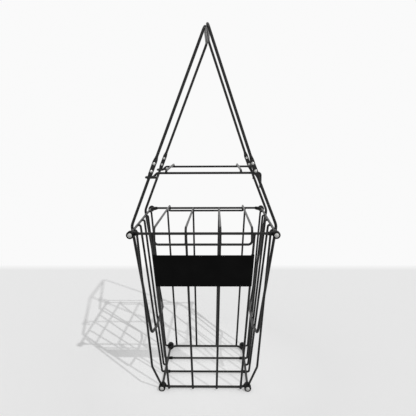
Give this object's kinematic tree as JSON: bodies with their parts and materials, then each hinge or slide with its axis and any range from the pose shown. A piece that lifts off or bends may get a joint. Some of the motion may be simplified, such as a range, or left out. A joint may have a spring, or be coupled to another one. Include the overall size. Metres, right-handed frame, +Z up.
{
  "type": "tennis ball hopper",
  "caption": "Black wire tennis ball hopper: tapered open basket on round feet, hinged lid, sign plate, and handle frames that swing down as legs.",
  "frame": {"origin": "on the floor under the middle of the basket", "axes": "+X to the right seen from the sign, -Y towards the sign at the front, +Z up"},
  "size_m": [0.3204, 0.3318, 0.8112],
  "materials": {
    "wire": "satin black powder coat on steel wire",
    "rod": "satin black powder coat on steel rod",
    "sign": "matte black coat on sheet steel, left bare",
    "bumper": "black moulded plastic with a fine grain",
    "collar": "black moulded plastic",
    "cap": "zinc-plated domed screw heads",
    "rivet": "bright domed rivets"
  },
  "bodies": {
    "basket": {"bar_collars": "collar", "base_loop": "wire", "bumper_base_front_left": "bumper", "bumper_base_front_right": "bumper", "bumper_base_rear_left": "bumper", "bumper_base_rear_right": "bumper", "bumper_top_front_left": "bumper", "bumper_top_front_right": "bumper", "bumper_top_rear_left": "bumper", "bumper_top_rear_right": "bumper", "corner_caps": "cap", "front_wire_1": "wire", "front_wire_2": "wire", "front_wire_3": "wire", "front_wire_4": "wire", "guide_wire_front_left": "wire", "guide_wire_front_right": "wire", "guide_wire_rear_left": "wire", "guide_wire_rear_right": "wire", "pickup_bar_front": "wire", "pickup_bar_rear": "wire", "rear_wire_1": "wire", "rear_wire_2": "wire", "rear_wire_3": "wire", "rear_wire_4": "wire", "rim_loop": "wire", "side_wire_left_1": "wire", "side_wire_left_2": "wire", "side_wire_left_3": "wire", "side_wire_right_1": "wire", "side_wire_right_2": "wire", "side_wire_right_3": "wire", "sign_plate": "sign"},
    "left_frame": {"handle_left": "rod", "leg_frame_left": "rod", "rivets_left": "rivet"},
    "right_frame": {"handle_right": "rod", "leg_frame_right": "rod", "rivets_right": "rivet"},
    "spreader": {"spreader_bar_front": "wire", "spreader_bar_rear": "wire", "spreader_tie_left": "wire", "spreader_tie_right": "wire"},
    "lid": {"lid_frame": "wire", "lid_wire_left": "wire", "lid_wire_right": "wire"}
  },
  "joints": [
    {"name": "left_leg_swing", "type": "hinge", "parent": "basket", "child": "left_frame", "pos_m": [-0.12955, 0, 0.25362], "axis": [0, -1, 0], "range_deg": [0, 175]},
    {"name": "right_leg_swing", "type": "hinge", "parent": "basket", "child": "right_frame", "pos_m": [0.12955, 0, 0.25362], "axis": [0, 1, 0], "range_deg": [0, 175]},
    {"name": "spreader_lift", "type": "hinge", "parent": "left_frame", "child": "spreader", "pos_m": [-0.12275, 0, 0.4951], "axis": [0, -1, 0], "range_deg": [0, 95]},
    {"name": "lid_hinge", "type": "hinge", "parent": "basket", "child": "lid", "pos_m": [0, 0.154, 0.3846], "axis": [-1, 0, 0], "range_deg": [0, 18.5]}
  ]
}
